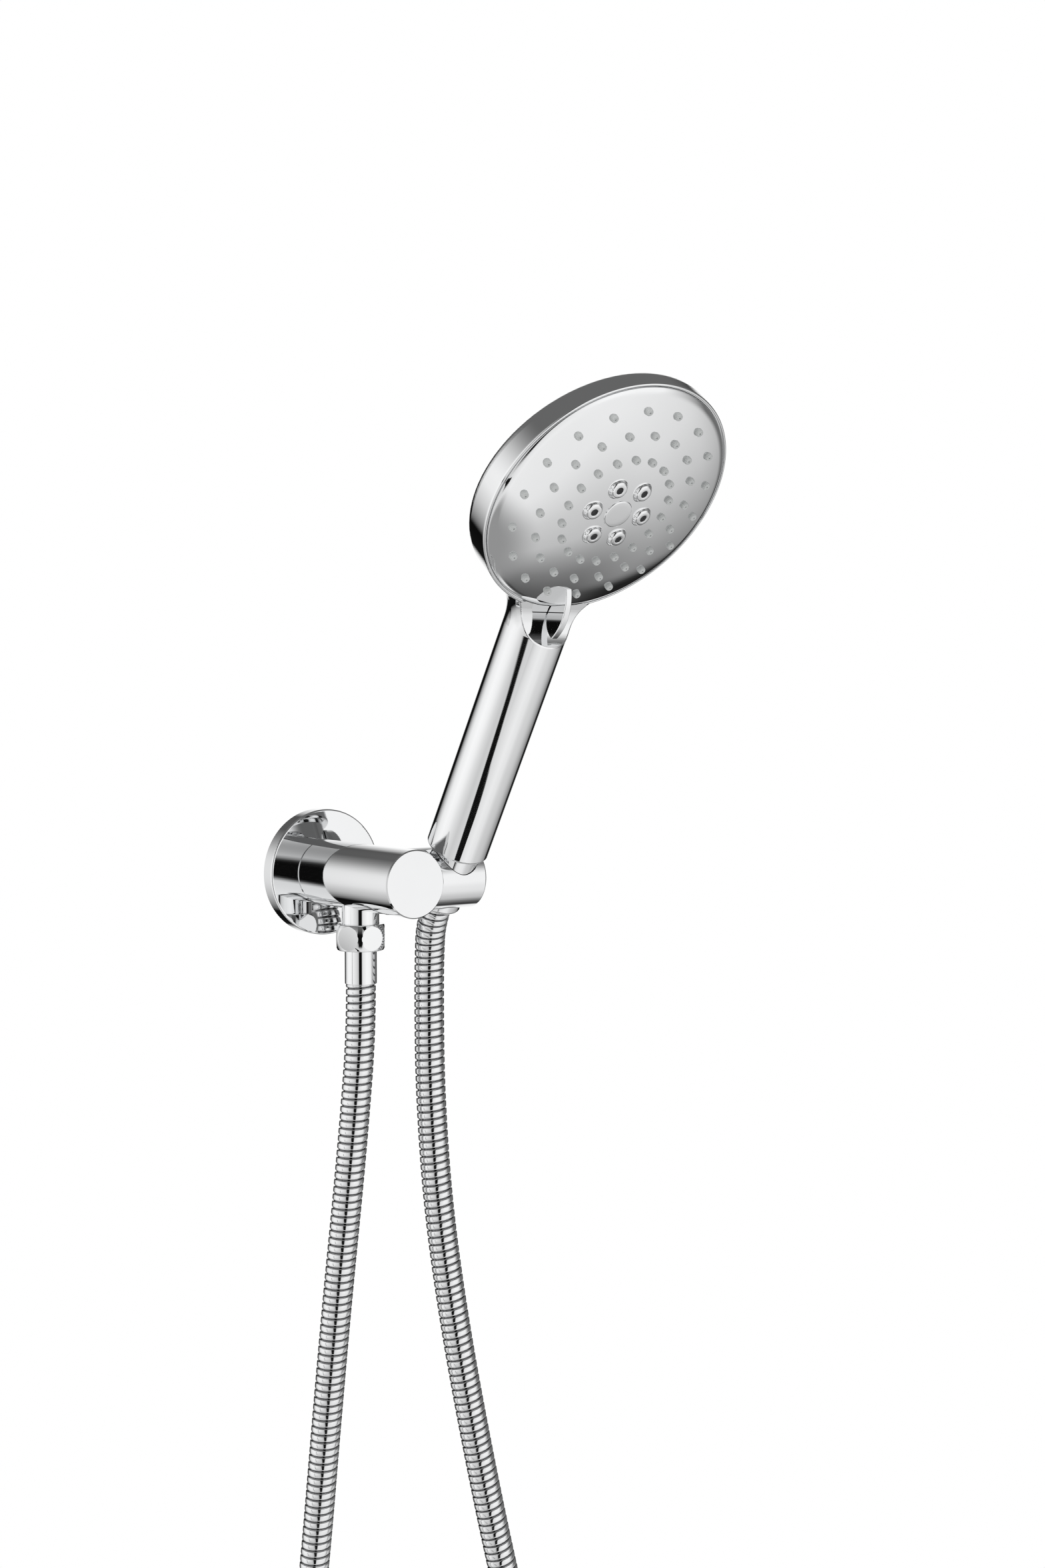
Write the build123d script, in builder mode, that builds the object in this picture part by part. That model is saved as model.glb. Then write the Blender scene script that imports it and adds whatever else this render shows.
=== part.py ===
import os
from math import acos, cos, degrees, radians, sin, sqrt, tan

from build123d import *

# Hand shower set: wall outlet with a holder arm, a metal hose and a handset.
# Frame: the wall is the plane y = 0, +Z is up and the set stands out to -Y.
# The origin is the centre of the wall flange's back face. Millimetres, degrees.

# Fits
face_gap = 0.3
running_gap = 0.08
thread_gap = 0.05
seat_gap = 0.1

# Wall flange and its gasket
flange_d = 58.0
flange_t = 7.0
flange_edge_r = 0.9
flange_lip = 5.0
flange_skin = 2.5
flange_hub_relief = 1.0
gasket_t = 1.4
gasket_w = 2.6

# Threaded supply nipple, G 1/2
supply_thread_d = 20.955
supply_wall = 2.5
supply_edge = 0.6
supply_in_d = 20.0
supply_out = 14.0
supply_in = 17.0
supply_washer_t = 1.6

# Outlet body, a turned bar with a blind bore
body_d = 30.0
body_len = 73.0
body_edge = 0.5
body_channel_d = 12.0
lock_screw_d = 5.0
lock_screw_y = 8.5
lock_key = 2.5

# Outlet stub, hose nut and ferrule, hanging under the body
outlet_y = 36.0
stub_seat = 3.5
stub_neck_d = 16.8
stub_neck_end = 21.4
stub_top_d = 13.6
stub_top_len = 7.0
stub_thread_d = 20.8
stub_thread_len = 7.2
stub_bore_d = 12.4
stub_port_d = 8.0
nut_flats = 22.6
nut_h = 12.6
nut_lip_t = 1.8
nut_mid_r = 12.75
nut_end_r = 11.45
nut_turn = -4.0
hose_washer_t = 2.0
hose_bore_d = 9.0
ferrule_flange_t = 1.6
ferrule_d = 14.5
ferrule_len = 14.2
bead_w = 1.2
bead_r = 0.45

# Check valve in the stub
cage_wall = 1.2
cage_len = 15.0
seat_t = 1.8
seat_bore_d = 6.4
spider_t = 1.5
spider_hole_d = 2.5
poppet_d = 8.4
poppet_t = 1.7
poppet_stem_d = 2.2
poppet_travel = 2.5
valve_spring_wire = 0.55
valve_spring_d = 4.6
valve_spring_turns = 5.0

# Holder arm
arm_d = 28.0
arm_web = 0.4
arm_end_wall = 0.8
arm_out = 65.6
arm_rise = 0.6
arm_edge_r = 1.0
holder_lean = 30.5
holder_slot_w = 15.0

# Hose cone: heights run along the leaning bore axis from the arm's axis
cone_top_r = 10.9
cone_foot_r = 10.2
cone_foot = 14.0
cone_round = 1.6
spigot_d = 17.0
spigot_len = 9.0
cone_washer_t = 2.0
end_flange_t = 1.9
end_flange_d = 16.6
end_ferrule_d = 14.2

# Handset handle
handle_d = 28.0
handle_base = 15.8
handle_base_r = 1.4
handle_wall = 2.5
handle_floor = 4.0
bore_below_head = 85.0
spigot_head_d = 20.0
spigot_head_t = 5.0
spigot_bore_d = 10.0
limiter_t = 3.0
limiter_hole_d = 1.6
water_tube_d = 12.0
water_tube_wall = 1.5
tube_socket = 8.0
neck_port_d = 8.0
neck_port_back = 2.0
port_below = 38.0

# Handset head: face heights stand out from the casing's rim plane
head_d = 110.0
head_along = 193.0
head_forward = 15.7
face_pitch = 10.2
head_depth = 15.0
back_wedge = 0.083
back_edge_r = 5.0
neck_r = 20.0
rim_w = 2.2
rim_edge_r = 1.0
rim_mouth_r = 0.7
cavity_depth = 7.5

# Thumb scoop and selector fin: lengths up the face from the rim's lowest
# point, and heights over the rim plane
scoop_mid_up = -7.7
scoop_mid_out = 2.8
scoop_foot_up = -12.2
scoop_foot_out = 10.5
scoop_edge_r = 0.8
fin_t = 3.0
fin_top_up = 13.7
fin_top_out = 3.4
fin_crest_up = 0.4
fin_crest_out = 10.2
fin_toe_up = -8.0
fin_toe_out = 9.4
fin_edge_r = 0.45
fin_gap = 0.5
selector_swing = 12.0

# Face plate
face_gap_r = 0.4
face_dome = 7.4
face_edge_rise = 0.6
face_roll = 3.0
face_t = 1.8
face_skirt = 3.4
hub_d = 15.0
hub_foot = 2.2
pivot_d = 8.0
pivot_head_d = 12.0
pivot_head_t = 1.2
pivot_grip = 6.0

# Nozzles, jets and centre cap
nozzle_insets = (4.8, 14.4, 24.8)
nozzle_turns = (17.0, 7.0, 17.0)
nozzle_count = 18
nozzle_d = 3.9
nozzle_tip_d = 3.3
nozzle_out = 1.8
nozzle_hole_d = 0.9
nozzle_hole_deep = 1.2
mat_t = 1.2
mat_edge = 1.8
jet_ring_r = 12.8
jet_count = 6
jet_turn = -3.0
jet_base_d = 8.6
jet_collar_d = 5.2
jet_bore_d = 3.4
jet_out = 2.4
jet_boss_out = 1.8
jet_shank_d = 4.6
jet_edge_r = 0.4
cap_d = 13.2
cap_out = 1.5
cap_t = 2.2

# Diverter and seals inside the head
chamber_t = 2.6
chamber_slot_r = 22.0
disc_t = 2.0
disc_r = 33.0
disc_ports = 6
disc_port_d = 5.0
ball_d = 3.0
detent_r = 28.0
detent_hole = 2.2
face_seal_w = 1.4
spring_pocket_d = 3.4

# Metal hose
hose_d = 13.6
hose_route = [
    (0.0, -36.0, -48.2),
    (0.0, -36.0, -70.0),
    (-2.6, -34.3, -110.0),
    (-5.4, -32.1, -148.0),
    (-8.8, -29.4, -190.0),
    (-13.2, -25.8, -252.0),
    (-17.4, -22.6, -314.0),
    (-23.2, -19.8, -372.0),
    (-30.2, -17.6, -430.0),
    (-36.5, -16.2, -482.0),
    (-35.6, -17.9, -526.6),
    (-14.0, -31.3, -561.6),
    (21.0, -53.0, -575.0),
    (56.0, -74.7, -561.6),
    (77.6, -88.1, -526.6),
    (79.6, -89.6, -482.0),
    (73.0, -85.4, -428.0),
    (62.6, -79.2, -372.0),
    (51.6, -72.4, -316.0),
    (42.2, -65.6, -261.0),
    (34.2, -58.6, -205.0),
    (28.6, -53.4, -150.0),
    (26.5, -50.6, -97.0),
    (26.5, -49.0, -58.0),
    (26.6, -47.9, -37.0),
]
hose_exit_run = 11.0
hose_bend_share = 0.45

os.makedirs("parts", exist_ok=True)

# Derived radii and planes
body_r = body_d / 2
arm_r = arm_d / 2
handle_r = handle_d / 2
head_r = head_d / 2
hose_r = hose_d / 2
supply_r = supply_thread_d / 2
supply_in_r = supply_in_d / 2
supply_bore_r = supply_in_r - supply_wall
stub_seat_drop = body_r - stub_seat
bore_mouth_r = cone_top_r + face_gap
arm_reach = body_r + arm_web + bore_mouth_r
arm_past_bore = bore_mouth_r + arm_end_wall
body_back = -flange_t
body_front = body_back - body_len
face_r = head_r - rim_w - face_gap_r
face_flat_r = face_r - face_roll
mat_r = face_flat_r - mat_edge
nozzle_rings = [
    (face_flat_r - inset, turn - 90) for inset, turn in zip(nozzle_insets, nozzle_turns)
]
dome_drop = face_dome - face_edge_rise
dome_r = (face_flat_r**2 + dome_drop**2) / (2 * dome_drop)
cavity_r = head_r - rim_w
handle_bore_top = head_along - bore_below_head

out = Plane.XZ
holder = Plane(
    origin=(arm_reach, -arm_out, arm_rise),
    x_dir=(0, cos(radians(holder_lean)), sin(radians(holder_lean))),
    z_dir=(0, -sin(radians(holder_lean)), cos(radians(holder_lean))),
)
face_tilt = radians(holder_lean + face_pitch)
head_centre = holder.from_local_coords(Vector(-head_forward, 0, head_along))
face = Plane(
    origin=head_centre,
    x_dir=(0, -sin(face_tilt), cos(face_tilt)),
    z_dir=(0, -cos(face_tilt), -sin(face_tilt)),
)
face_axis = Axis(head_centre, face.z_dir)
side = Plane(origin=head_centre, x_dir=face.x_dir, z_dir=(1, 0, 0))
face_section = Plane(origin=head_centre, x_dir=(1, 0, 0), z_dir=-face.x_dir)
stub_plane = Plane(origin=(0, -outlet_y, 0), z_dir=(0, 0, -1))


def dome_height(radius):
    """Height of the face plate's outer dome above the rim plane."""
    return face_dome - (dome_r - sqrt(dome_r**2 - radius**2))


def save(part, name):
    """Label one finished piece and write it."""
    part.label = name
    export_step(part, f"parts/{name}.step")


def ring(plane, low, high, outer_r, inner_r):
    """A plain washer between two heights over a plane."""
    with BuildPart() as washer:
        with BuildSketch(plane.offset(low)):
            Circle(outer_r)
            Circle(inner_r, mode=Mode.SUBTRACT)
        extrude(amount=high - low)
    return washer.part


# Wall flange: a turned disc, hollow behind, clamped by the outlet body
with BuildPart() as wall_flange:
    with BuildSketch(out):
        Circle(flange_d / 2)
    extrude(amount=flange_t)
    fillet(wall_flange.edges().group_by(Axis.Y)[0], radius=flange_edge_r)
    with BuildSketch(out):
        Circle(flange_d / 2 - flange_lip)
        Circle(supply_r + flange_lip, mode=Mode.SUBTRACT)
    extrude(amount=flange_t - flange_skin, mode=Mode.SUBTRACT)
    with BuildSketch(out):
        Circle(supply_r + flange_lip)
    extrude(amount=flange_hub_relief, mode=Mode.SUBTRACT)
    with BuildSketch(out):
        Circle(supply_in_r + seat_gap)
    extrude(amount=flange_t, mode=Mode.SUBTRACT)
    gasket_r = flange_d / 2 - flange_lip / 2
    with BuildSketch(out):
        Circle(gasket_r + gasket_w / 2)
        Circle(gasket_r - gasket_w / 2, mode=Mode.SUBTRACT)
    extrude(amount=gasket_t, mode=Mode.SUBTRACT)
save(wall_flange.part, "wall_flange")

# Flat rubber gasket let into the flange's back
save(ring(out, 0, gasket_t, gasket_r + gasket_w / 2, gasket_r - gasket_w / 2), "flange_gasket")

# Supply nipple: threaded tube from the wall fitting into the body
with BuildPart() as supply_nipple:
    with BuildSketch(out.offset(-supply_out)):
        Circle(supply_r)
    extrude(amount=supply_out)
    with BuildSketch(out):
        Circle(supply_in_r)
    extrude(amount=flange_t + supply_in)
    chamfer(supply_nipple.edges().group_by(Axis.Y)[0], length=supply_edge)
    chamfer(supply_nipple.edges().group_by(Axis.Y)[-1], length=supply_edge)
    with BuildSketch(out.offset(-supply_out)):
        Circle(supply_bore_r)
    extrude(amount=supply_out + flange_t + supply_in, mode=Mode.SUBTRACT)
save(supply_nipple.part, "supply_nipple")

washer_low = flange_t + supply_in
body_stop = washer_low + supply_washer_t
save(ring(out, washer_low, body_stop, supply_in_r, supply_bore_r), "supply_washer")

# Outlet body: one plain bar, bored from behind, with the stub's seat below
with BuildPart() as outlet_body:
    with BuildSketch(out.offset(flange_t)):
        Circle(body_r)
    extrude(amount=body_len)
    chamfer(outlet_body.edges().filter_by(GeomType.CIRCLE), length=body_edge)
    with BuildSketch(out.offset(flange_t)):
        Circle(supply_in_r + thread_gap)
    extrude(amount=body_stop - flange_t, mode=Mode.SUBTRACT)
    with BuildSketch(out.offset(body_stop)):
        Circle(body_channel_d / 2)
    extrude(amount=outlet_y + body_channel_d / 2 - body_stop, mode=Mode.SUBTRACT)
    with BuildSketch(stub_plane):
        Circle(stub_top_d / 2 + thread_gap)
    extrude(amount=body_r, mode=Mode.SUBTRACT)
    with BuildSketch(stub_plane.offset(stub_seat_drop)):
        Circle(stub_neck_d / 2 + thread_gap)
    extrude(amount=body_r, mode=Mode.SUBTRACT)
    with BuildSketch(Plane(origin=(0, body_back - lock_screw_y, 0), z_dir=(0, 0, -1))):
        Circle(lock_screw_d / 2 + thread_gap)
    extrude(amount=body_r, mode=Mode.SUBTRACT)
save(outlet_body.part, "outlet_body")

# Grub screw that locks the body on the nipple, from below
lock_tip = supply_in_r + seat_gap
with BuildPart() as lock_screw:
    with BuildSketch(Plane(origin=(0, body_back - lock_screw_y, -lock_tip), z_dir=(0, 0, -1))):
        Circle(lock_screw_d / 2)
    extrude(amount=body_r - lock_tip - body_edge)
    with BuildSketch(Plane(origin=(0, body_back - lock_screw_y, body_edge - body_r))):
        RegularPolygon(lock_key / 2, 6, major_radius=False)
    extrude(amount=lock_key, mode=Mode.SUBTRACT)
save(lock_screw.part, "lock_screw")

# Holder arm: a bar brazed to the body's side, with a leaning taper bore
# and a slot at the back that lets the hose out
bore_span = arm_d + handle_base
bore_taper = (cone_top_r - cone_foot_r) / (handle_base + cone_foot)


def cone_radius(height):
    """Outer radius of the hose cone at a height over the arm's axis."""
    return cone_foot_r + bore_taper * (height + cone_foot)


with BuildPart() as holder_arm:
    with BuildSketch(Plane(origin=(0, -arm_out, arm_rise), z_dir=(1, 0, 0))):
        Circle(arm_r)
    extrude(amount=arm_reach + arm_past_bore)
    fillet(holder_arm.edges().group_by(Axis.X)[-1], radius=arm_edge_r)
    with BuildSketch(out.offset(flange_t)):
        Circle(body_r)
    extrude(amount=2 * body_len, mode=Mode.SUBTRACT)
    with BuildSketch(holder.offset(-bore_span / 2)):
        Circle(cone_radius(-bore_span / 2) + face_gap)
    with BuildSketch(holder.offset(bore_span / 2)):
        Circle(cone_radius(bore_span / 2) + face_gap)
    loft(mode=Mode.SUBTRACT)
    with BuildSketch(holder.offset(-bore_span / 2)):
        with Locations((arm_d / 2, 0)):
            Rectangle(arm_d, holder_slot_w)
    extrude(amount=bore_span, mode=Mode.SUBTRACT)
save(holder_arm.part, "holder_arm")

# Outlet stub: seats in the spot face, carries the hose nut's thread
with BuildPart() as outlet_stub:
    with BuildSketch(stub_plane.offset(stub_seat_drop - stub_top_len)):
        Circle(stub_top_d / 2)
    extrude(amount=stub_top_len)
    with BuildSketch(stub_plane.offset(stub_seat_drop)):
        Circle(stub_neck_d / 2)
    extrude(amount=stub_neck_end - stub_seat_drop)
    with BuildSketch(stub_plane.offset(stub_neck_end)):
        Circle(stub_thread_d / 2)
    extrude(amount=stub_thread_len)
    stub_foot = stub_neck_end + stub_thread_len
    cage_top = stub_foot - seat_gap - cage_len
    with BuildSketch(stub_plane.offset(cage_top)):
        Circle(stub_bore_d / 2)
    extrude(amount=stub_foot - cage_top, mode=Mode.SUBTRACT)
    with BuildSketch(stub_plane):
        Circle(stub_port_d / 2)
    extrude(amount=stub_foot, mode=Mode.SUBTRACT)
save(outlet_stub.part, "outlet_stub")

# Check valve: cage pressed into the stub, sprung poppet under its seat
cage_r = stub_bore_d / 2 - thread_gap
cage_bore_r = cage_r - cage_wall
cage_foot = cage_top + cage_len
with BuildPart() as check_cage:
    with BuildSketch(stub_plane.offset(cage_top)):
        Circle(cage_r)
    extrude(amount=cage_len)
    with BuildSketch(stub_plane.offset(cage_top)):
        Circle(seat_bore_d / 2)
    extrude(amount=seat_t, mode=Mode.SUBTRACT)
    with BuildSketch(stub_plane.offset(cage_top + seat_t)):
        Circle(cage_bore_r)
    extrude(amount=cage_len - seat_t - spider_t, mode=Mode.SUBTRACT)
    with BuildSketch(stub_plane.offset(cage_foot - spider_t)):
        Circle(poppet_stem_d / 2 + 2 * running_gap)
        with PolarLocations((cage_bore_r + poppet_stem_d / 2) / 2, 4):
            Circle(spider_hole_d / 2)
    extrude(amount=spider_t, mode=Mode.SUBTRACT)
save(check_cage.part, "check_valve_cage")

poppet_top = cage_top + seat_t + seat_gap
spring_low = poppet_top + poppet_t
with BuildPart() as check_poppet:
    with BuildSketch(stub_plane.offset(poppet_top)):
        Circle(poppet_d / 2)
    extrude(amount=poppet_t)
    with BuildSketch(stub_plane.offset(spring_low)):
        Circle(poppet_stem_d / 2)
    extrude(amount=cage_foot - spring_low)
save(check_poppet.part, "check_valve_poppet")

spring_room = cage_foot - spider_t - spring_low - valve_spring_wire - 2 * seat_gap
spring_foot = cage_foot - spider_t - valve_spring_wire / 2 - seat_gap
spring_start = Plane(origin=(0, -outlet_y, -spring_foot))
with BuildPart() as valve_spring:
    with BuildLine(spring_start) as valve_coil:
        Helix(spring_room / valve_spring_turns, spring_room, valve_spring_d / 2)
    with BuildSketch(Plane(origin=valve_coil.line @ 0, z_dir=valve_coil.line % 0)):
        RegularPolygon(valve_spring_wire / 2, 6)
    sweep(path=valve_coil.line)
save(valve_spring.part, "check_valve_spring")

# Hose nut: six flats on a turned barrel, so each flat shows as an oval
nut_foot = stub_neck_end + nut_h
nut_middle = -stub_neck_end - nut_h / 2
stub_axis = Axis((0, -outlet_y, 0), (0, 0, 1))
with BuildPart() as hose_nut:
    with BuildSketch(stub_plane.offset(stub_neck_end)):
        RegularPolygon(nut_flats / 2, 6, major_radius=False, rotation=nut_turn)
    extrude(amount=nut_h)
    with BuildSketch(Plane(origin=(0, -outlet_y, 0), x_dir=(1, 0, 0), z_dir=(0, -1, 0))):
        with BuildLine():
            ThreePointArc((nut_end_r, -nut_foot), (nut_mid_r, nut_middle), (nut_end_r, -stub_neck_end))
            Polyline(
                (nut_end_r, -stub_neck_end), (0, -stub_neck_end), (0, -nut_foot), (nut_end_r, -nut_foot)
            )
        make_face()
    revolve(axis=stub_axis, mode=Mode.INTERSECT)
    with BuildSketch(stub_plane.offset(stub_neck_end)):
        Circle(stub_thread_d / 2 + thread_gap)
    extrude(amount=nut_h - nut_lip_t, mode=Mode.SUBTRACT)
    with BuildSketch(stub_plane.offset(stub_neck_end)):
        Circle(ferrule_d / 2 + thread_gap)
    extrude(amount=nut_h, mode=Mode.SUBTRACT)
save(hose_nut.part, "hose_nut")

washer_foot = stub_foot + hose_washer_t
hose_washer = ring(stub_plane, stub_foot, washer_foot, stub_thread_d / 2, hose_bore_d / 2)
save(hose_washer, "hose_nut_washer")

# Ferrule crimped on the hose's wall end, held by its flange in the nut
flange_foot = nut_foot - nut_lip_t
ferrule_foot = nut_foot + ferrule_len
with BuildPart() as hose_ferrule:
    with BuildSketch(stub_plane.offset(washer_foot)):
        Circle(stub_thread_d / 2 - thread_gap)
    extrude(amount=flange_foot - washer_foot)
    with BuildSketch(stub_plane.offset(flange_foot)):
        Circle(ferrule_d / 2)
    extrude(amount=ferrule_foot - flange_foot)
    fillet(hose_ferrule.edges().group_by(Axis.Z)[0], radius=bead_r)
    with BuildSketch(stub_plane.offset(washer_foot)):
        Circle(hose_bore_d / 2)
    extrude(amount=ferrule_foot - washer_foot, mode=Mode.SUBTRACT)
save(hose_ferrule.part, "hose_wall_ferrule")

# Metal hose: a free hanging loop from the ferrule to the cone
hose_end = holder.from_local_coords(Vector(0, 0, -cone_foot))
hose_leave = hose_end - holder.z_dir * hose_exit_run
route = [Vector(*point) for point in hose_route]
route += [hose_leave, hose_end]
bend_radii = []
for before, corner, after in zip(route, route[1:], route[2:]):
    turn = radians((corner - before).get_angle(after - corner))
    shorter = min((corner - before).length, (after - corner).length)
    bend_radii.append(hose_bend_share * shorter / tan(turn / 2))
with BuildPart() as shower_hose:
    with BuildLine() as hose_path:
        FilletPolyline(*route, radius=bend_radii)
    with BuildSketch(Plane(origin=hose_path.line @ 0, z_dir=hose_path.line % 0)):
        Circle(hose_r)
    sweep(path=hose_path.line)
save(shower_hose.part, "shower_hose")
hose_length = hose_path.wires()[0].length
hose_fill = shower_hose.part.volume / (hose_length * 3.14159265 * hose_r**2)
print("hose bend radii", [round(radius) for radius in bend_radii])
print("hose length", round(hose_length, 1), "volume over section times length", round(hose_fill, 4))

# Hose end ferrule: turns freely in the cone, so the hose doesn't twist
spigot_foot = handle_base - spigot_len
end_flange_top = spigot_foot - cone_washer_t - seat_gap
end_flange_foot = end_flange_top - end_flange_t
with BuildPart() as hose_end_ferrule:
    with BuildSketch(holder.offset(-cone_foot)):
        Circle(end_ferrule_d / 2)
    extrude(amount=end_flange_foot + cone_foot)
    with BuildSketch(holder.offset(end_flange_foot)):
        Circle(end_flange_d / 2)
    extrude(amount=end_flange_t)
    with BuildSketch(holder.offset(-cone_foot)):
        Circle(hose_bore_d / 2)
    extrude(amount=end_flange_top + cone_foot, mode=Mode.SUBTRACT)
save(hose_end_ferrule.part, "hose_end_ferrule")

# Hose cone nut: tapered outside, screwed on the handset's spigot
with BuildPart() as hose_cone:
    with BuildSketch(holder.offset(-cone_foot)):
        Circle(cone_foot_r)
    with BuildSketch(holder.offset(handle_base)):
        Circle(cone_top_r)
    loft()
    fillet(hose_cone.edges().filter_by(GeomType.CIRCLE).sort_by(Axis.Z)[0], radius=cone_round)
    with BuildSketch(holder.offset(end_flange_foot - seat_gap)):
        Circle(spigot_d / 2 + thread_gap)
    extrude(amount=handle_base - end_flange_foot + seat_gap, mode=Mode.SUBTRACT)
    with BuildSketch(holder.offset(-cone_foot)):
        Circle(end_ferrule_d / 2 + running_gap)
    extrude(amount=end_flange_foot + cone_foot, mode=Mode.SUBTRACT)
save(hose_cone.part, "hose_cone_nut")

cone_washer = ring(
    holder, spigot_foot - cone_washer_t, spigot_foot, spigot_d / 2, spigot_bore_d / 2
)
save(cone_washer, "cone_washer")

# Handset shell: handle, flared neck and round casing in one piece
neck_x = handle_r + neck_r
neck_up = -sqrt((head_r + neck_r) ** 2 - neck_x**2)
neck_start = head_along + neck_up * cos(radians(face_pitch))
neck_shares = (0.0, 0.3, 0.55, 0.75, 0.9)
rim_foot = (-head_r, 0)
scoop_mid = (scoop_mid_up - head_r, scoop_mid_out)
scoop_foot = (scoop_foot_up - head_r, scoop_foot_out)
scoop_clear = 4 * face_dome
front_corner = (scoop_foot[0] - scoop_clear / 2, scoop_foot[1] + scoop_clear)
back_span = 1.5 * head_r
bore_floor = handle_base + handle_floor
back_cut = [
    (-back_span, -head_depth - back_wedge * back_span),
    (back_span, -head_depth + back_wedge * back_span),
    (back_span, -4 * head_depth),
    (-back_span, -4 * head_depth),
]
with BuildPart() as head_casing:
    with BuildSketch(face):
        Circle(head_r)
    extrude(amount=-2 * head_depth)
    with BuildSketch(side):
        Polygon(*back_cut, align=None)
    extrude(amount=2 * head_r, both=True, mode=Mode.SUBTRACT)
    fillet(head_casing.edges().filter_by(GeomType.ELLIPSE), radius=back_edge_r)
    fillet(head_casing.edges().filter_by(GeomType.CIRCLE).sort_by(SortBy.LENGTH)[-1], radius=rim_edge_r)
with BuildPart() as handset_shell:
    with BuildSketch(holder.offset(handle_base)):
        Circle(handle_r)
    extrude(amount=neck_start - handle_base)
    fillet(handset_shell.edges().filter_by(GeomType.CIRCLE).sort_by(Axis.Z)[0], radius=handle_base_r)
    for share in neck_shares:
        flare = neck_x - neck_r * sqrt(1 - share**2)
        with BuildSketch(holder.offset(neck_start + neck_r * share)):
            if share:
                Ellipse(handle_r, flare)
            else:
                Circle(handle_r)
    loft()
    with BuildSketch(side):
        with BuildLine():
            ThreePointArc(rim_foot, scoop_mid, scoop_foot)
            Polyline(
                scoop_foot,
                front_corner,
                (back_span, front_corner[1]),
                (back_span, 0),
                rim_foot,
            )
        make_face()
    extrude(amount=head_r, both=True, mode=Mode.SUBTRACT)
    scoop = handset_shell.faces(Select.LAST).filter_by(GeomType.CYLINDER).sort_by(SortBy.AREA)[0]
    fillet(scoop.edges().filter_by(GeomType.BSPLINE), radius=scoop_edge_r)
    with BuildSketch(side):
        Polygon(*back_cut, align=None)
    extrude(amount=2 * head_r, both=True, mode=Mode.SUBTRACT)
    add(head_casing.part)
    with BuildSketch(face):
        Circle(cavity_r)
    extrude(amount=-cavity_depth, mode=Mode.SUBTRACT)
    mouth = handset_shell.faces(Select.LAST).edges().filter_by(GeomType.CIRCLE).sort_by(face_axis)[-1]
    fillet(mouth, radius=rim_mouth_r)
    with BuildSketch(face):
        Circle(pivot_d / 2 + thread_gap)
    extrude(amount=-cavity_depth - pivot_grip, mode=Mode.SUBTRACT)
    with BuildSketch(holder.offset(bore_floor)):
        Circle(handle_r - handle_wall)
    extrude(amount=handle_bore_top - bore_floor, mode=Mode.SUBTRACT)
    with BuildSketch(holder.offset(handle_base)):
        Circle(spigot_d / 2 + thread_gap)
    extrude(amount=handle_floor, mode=Mode.SUBTRACT)
    with BuildSketch(holder.offset(handle_bore_top)):
        Circle(water_tube_d / 2 + thread_gap)
    extrude(amount=tube_socket, mode=Mode.SUBTRACT)
    with BuildSketch(holder.offset(handle_bore_top)):
        with Locations((neck_port_back, 0)):
            Circle(neck_port_d / 2)
    extrude(amount=head_along - port_below + neck_port_d / 2 - handle_bore_top, mode=Mode.SUBTRACT)
    with BuildSketch(face.offset(-cavity_depth)):
        with Locations((-port_below, 0)):
            Circle(neck_port_d / 2)
    extrude(amount=-neck_port_d / 2, mode=Mode.SUBTRACT)
save(handset_shell.part, "handset_shell")

# Inlet spigot: threaded foot of the handset, its head inside the handle
with BuildPart() as inlet_spigot:
    with BuildSketch(holder.offset(spigot_foot)):
        Circle(spigot_d / 2)
    extrude(amount=spigot_len + handle_floor)
    with BuildSketch(holder.offset(bore_floor)):
        Circle(spigot_head_d / 2)
    extrude(amount=spigot_head_t)
    with BuildSketch(holder.offset(spigot_foot)):
        Circle(spigot_bore_d / 2)
    extrude(amount=spigot_len + handle_floor + spigot_head_t, mode=Mode.SUBTRACT)
    with BuildSketch(holder.offset(bore_floor)):
        Circle(water_tube_d / 2 + thread_gap)
    extrude(amount=spigot_head_t, mode=Mode.SUBTRACT)
save(inlet_spigot.part, "inlet_spigot")

with BuildPart() as flow_limiter:
    with BuildSketch(holder.offset(spigot_foot + seat_gap)):
        Circle(spigot_bore_d / 2 - thread_gap)
        Circle(limiter_hole_d / 2, mode=Mode.SUBTRACT)
        with PolarLocations(spigot_bore_d / 4 + limiter_hole_d / 4, 6):
            Circle(limiter_hole_d / 2, mode=Mode.SUBTRACT)
    extrude(amount=limiter_t)
save(flow_limiter.part, "flow_limiter")

tube_top = handle_bore_top + tube_socket - seat_gap
water_tube = ring(
    holder, bore_floor + seat_gap, tube_top, water_tube_d / 2, water_tube_d / 2 - water_tube_wall
)
save(water_tube, "water_tube")

# Water chamber plate: fixed in the casing, feeds the diverter through slots
chamber_low = -cavity_depth + seat_gap
chamber_top = chamber_low + chamber_t
with BuildPart() as chamber_plate:
    with BuildSketch(face.offset(chamber_low)):
        Circle(cavity_r - seat_gap)
        Circle(pivot_d / 2 + thread_gap, mode=Mode.SUBTRACT)
        with PolarLocations(chamber_slot_r, disc_ports):
            Circle(disc_port_d / 2, mode=Mode.SUBTRACT)
        with Locations((-port_below, 0)):
            Circle(neck_port_d / 2, mode=Mode.SUBTRACT)
    extrude(amount=chamber_t)
    with BuildSketch(face.offset(chamber_top)):
        with Locations((detent_r, 0)):
            Circle(spring_pocket_d / 2)
    extrude(amount=-detent_hole, mode=Mode.SUBTRACT)
save(chamber_plate.part, "chamber_plate")

# Detent ball, pressed into the diverter's track
ball_rise = ball_d / 2 - detent_hole + seat_gap
with BuildPart() as detent_ball:
    ball_seat = face.offset(chamber_top + ball_rise)
    with Locations(Location(ball_seat.from_local_coords(Vector(detent_r, 0, 0)))):
        Sphere(ball_d / 2)
save(detent_ball.part, "detent_ball")

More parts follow.
